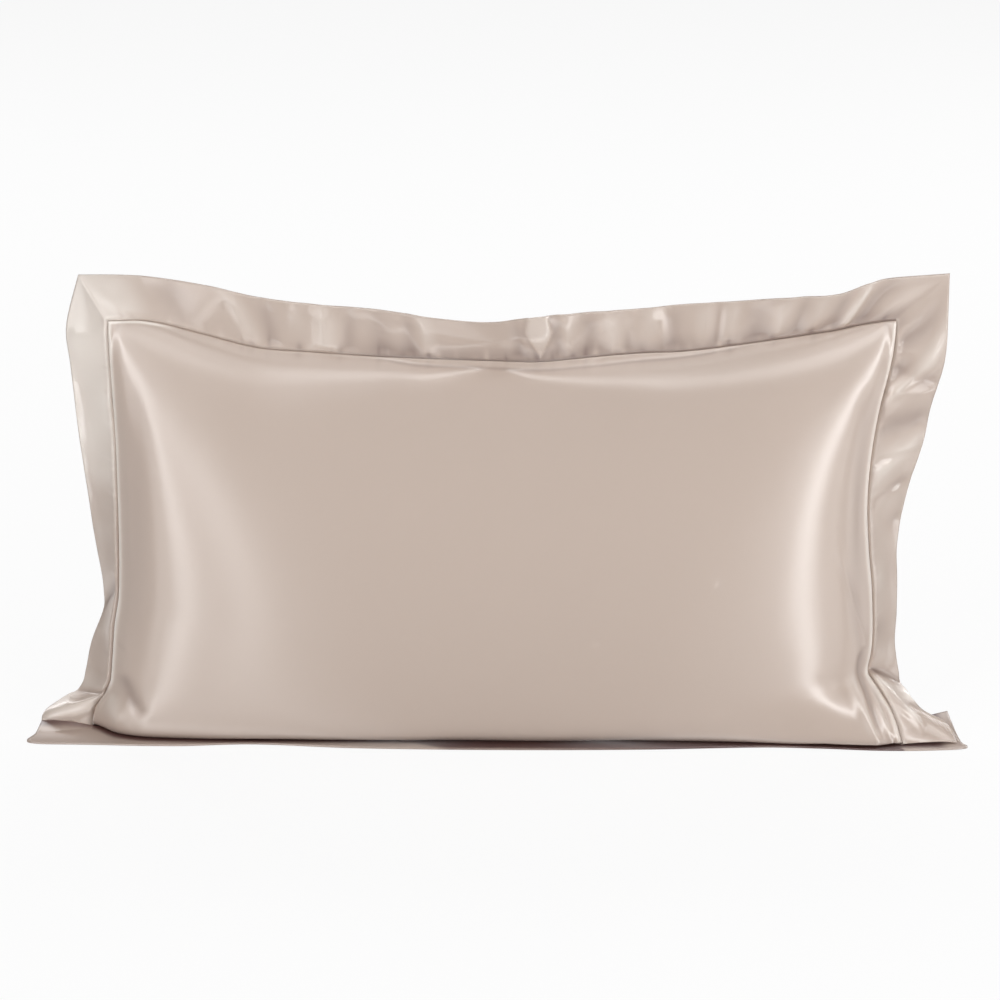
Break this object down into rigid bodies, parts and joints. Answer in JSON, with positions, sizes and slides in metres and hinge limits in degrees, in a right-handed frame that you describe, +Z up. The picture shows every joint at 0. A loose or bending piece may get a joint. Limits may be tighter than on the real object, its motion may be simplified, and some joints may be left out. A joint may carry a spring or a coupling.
{
  "type": "pillowcase",
  "caption": "Filled satin pillowcase with a flat stitched border, standing on its lower long edge with that side of the border folded forward on the surface.",
  "frame": {"origin": "middle of the whole case along X and Y, at the surface that it stands on", "axes": "+X along the case, from its left end to its right end seen from the front; +Y away from the front; +Z up"},
  "size_m": [1.0329, 0.1784, 0.526],
  "materials": {
    "body_satin": "satin, soft sheen, champagne",
    "border_satin": "satin, soft sheen, champagne, doubled and topstitched"
  },
  "bodies": {
    "root": {"pillow_body": "body_satin", "flange_border": "border_satin"}
  },
  "joints": []
}
